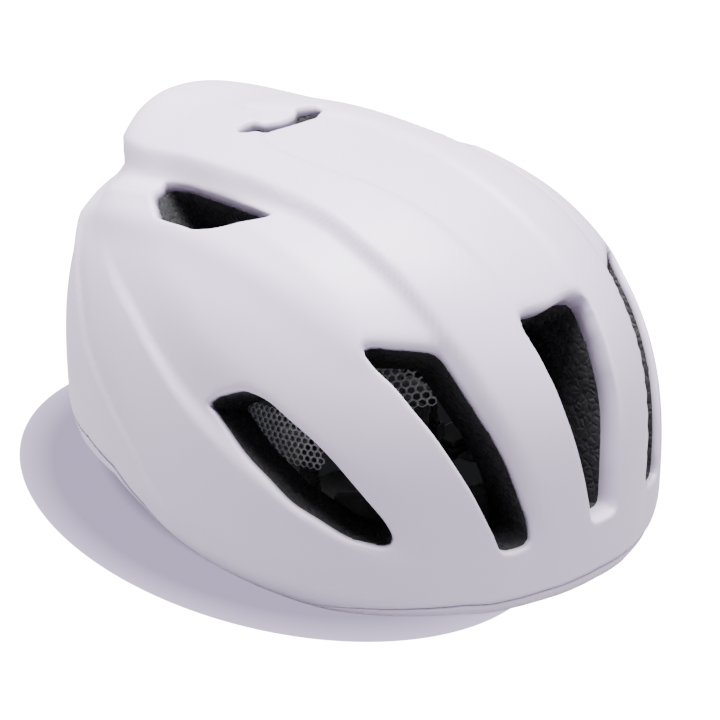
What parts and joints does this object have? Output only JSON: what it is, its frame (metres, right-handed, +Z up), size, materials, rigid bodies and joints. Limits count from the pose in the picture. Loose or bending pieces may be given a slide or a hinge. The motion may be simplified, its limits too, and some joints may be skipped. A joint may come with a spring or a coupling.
{
  "type": "cycling helmet",
  "caption": "Vented road cycling helmet with in-mould shell, foam liner, comfort pads, dial-adjusted cradle, webbing and side-squeeze buckle.",
  "frame": {"origin": "on the ground under the helmet's bottom centre, midway between its sides and its ends", "axes": "+X to the wearer's left, -Y forwards, +Z up"},
  "size_m": [0.2, 0.287, 0.155],
  "materials": {
    "shell_white": "satin white polycarbonate skin",
    "trim_white": "satin white polycarbonate edge strip",
    "foam_black": "black expanded polystyrene beads",
    "net_grey": "grey knitted mesh",
    "pad_black": "black brushed fabric over foam",
    "hook_black": "hook fastener",
    "plastic_black": "moulded nylon",
    "web_black": "woven webbing",
    "rubber_grey": "soft overmould",
    "steel": "plain steel"
  },
  "bodies": {
    "helmet": {"brow_pad": "pad_black", "brow_pad_hook_1": "hook_black", "brow_pad_hook_2": "hook_black", "buckle_socket": "plastic_black", "chin_pad": "pad_black", "chin_strap_left": "web_black", "chin_strap_right": "web_black", "crown_pad": "pad_black", "crown_pad_hook_1": "hook_black", "crown_pad_hook_2": "hook_black", "eps_liner": "foam_black", "front_anchor_left": "plastic_black", "front_anchor_right": "plastic_black", "front_strap_left": "web_black", "front_strap_right": "web_black", "height_guide": "plastic_black", "insect_net_left": "net_grey", "insect_net_right": "net_grey", "lower_trim": "trim_white", "rear_anchor_left": "plastic_black", "rear_anchor_right": "plastic_black", "rear_pad_left": "pad_black", "rear_pad_left_hook_1": "hook_black", "rear_pad_right": "pad_black", "rear_pad_right_hook_1": "hook_black", "rear_strap_left": "web_black", "rear_strap_right": "web_black", "side_pad_left": "pad_black", "side_pad_left_hook_1": "hook_black", "side_pad_right": "pad_black", "side_pad_right_hook_1": "hook_black", "splitter_left": "plastic_black", "splitter_right": "plastic_black", "strap_keeper": "rubber_grey", "temple_anchor_left": "plastic_black", "temple_anchor_right": "plastic_black", "upper_shell": "shell_white"},
    "cradle": {"cradle_frame": "plastic_black", "cradle_cover": "plastic_black", "click_ring": "steel", "height_stem": "plastic_black", "cradle_pad_left": "pad_black", "cradle_pad_right": "pad_black"},
    "dial": {"dial_knob": "rubber_grey", "dial_pinion": "plastic_black", "dial_screw": "steel"},
    "band_left": {"halo_band_left": "plastic_black"},
    "band_right": {"halo_band_right": "plastic_black"},
    "lever_left": {"splitter_lever_left": "plastic_black"},
    "lever_right": {"splitter_lever_right": "plastic_black"},
    "tongue": {"buckle_tongue": "plastic_black"}
  },
  "joints": [
    {"name": "height_adjust", "type": "hinge", "parent": "helmet", "child": "cradle", "pos_m": [0, -0.0295, 0.036], "axis": [1, 0, 0], "range_deg": [0, 6]},
    {"name": "dial_turn", "type": "hinge", "parent": "cradle", "child": "dial", "pos_m": [0, 0.0972, 0.03], "axis": [0, 1, 0], "range_deg": [0, 105]},
    {"name": "band_left_slide", "type": "slide", "parent": "cradle", "child": "band_left", "axis": [-1, 0, 0], "range_m": [0, 0.006]},
    {"name": "band_right_slide", "type": "slide", "parent": "cradle", "child": "band_right", "axis": [1, 0, 0], "range_m": [0, 0.006]},
    {"name": "lever_left_open", "type": "hinge", "parent": "helmet", "child": "lever_left", "pos_m": [0.062, 0, 0.00705], "axis": [0, 1, 0], "range_deg": [0, 95]},
    {"name": "lever_right_open", "type": "hinge", "parent": "helmet", "child": "lever_right", "pos_m": [-0.062, 0, 0.00705], "axis": [0, -1, 0], "range_deg": [0, 95]},
    {"name": "buckle_release", "type": "slide", "parent": "helmet", "child": "tongue", "axis": [-1, 0, 0], "range_m": [0, 0.014], "deforming": ["chin_strap_right"]}
  ],
  "couplings": [
    {"joint": "band_left_slide", "follows": "dial_turn", "m_per_rad": 0.0032},
    {"joint": "band_right_slide", "follows": "dial_turn", "m_per_rad": 0.0032}
  ]
}
